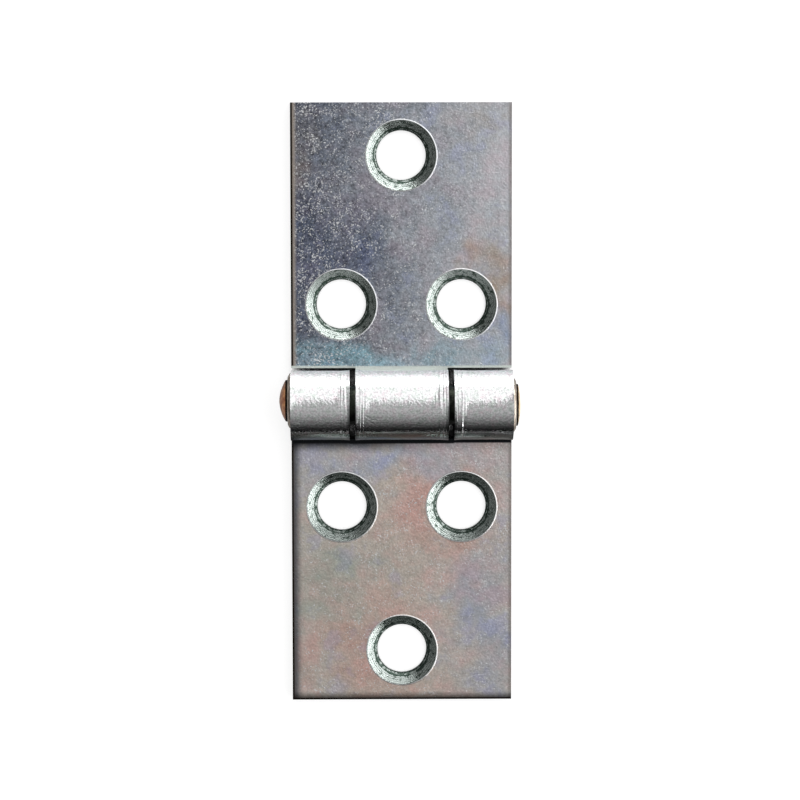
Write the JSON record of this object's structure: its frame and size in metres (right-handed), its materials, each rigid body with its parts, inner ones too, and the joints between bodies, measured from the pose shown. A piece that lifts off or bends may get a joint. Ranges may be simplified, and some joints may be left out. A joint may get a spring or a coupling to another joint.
{
  "type": "flat hinge",
  "caption": "Flat rectangular hinge: stamped steel leaves with rolled knuckles turn on a riveted brass pin, and take countersunk screws, for flaps, lids and table tops.",
  "frame": {"origin": "on the flat back of the open hinge, under the middle of the pin", "axes": "+X along the pin, +Y towards the end of the leaf with one knuckle, +Z out of the side that the screws go in from"},
  "size_m": [0.032, 0.08, 0.0094],
  "materials": {
    "zinc_plated_steel": "bright zinc plating with a clear passivation, semi-gloss and finely scuffed by tumbling",
    "brass": "bare brass, hammered smooth at the heads and a little tarnished"
  },
  "bodies": {
    "fixed_leaf": {"double_knuckle_leaf": "zinc_plated_steel", "rivet_pin": "brass"},
    "swinging_leaf": {"single_knuckle_leaf": "zinc_plated_steel"}
  },
  "joints": [
    {"name": "leaf_swing", "type": "hinge", "parent": "fixed_leaf", "child": "swinging_leaf", "pos_m": [0, 0, 0.00468], "axis": [1, 0, 0], "range_deg": [-90, 187]}
  ]
}
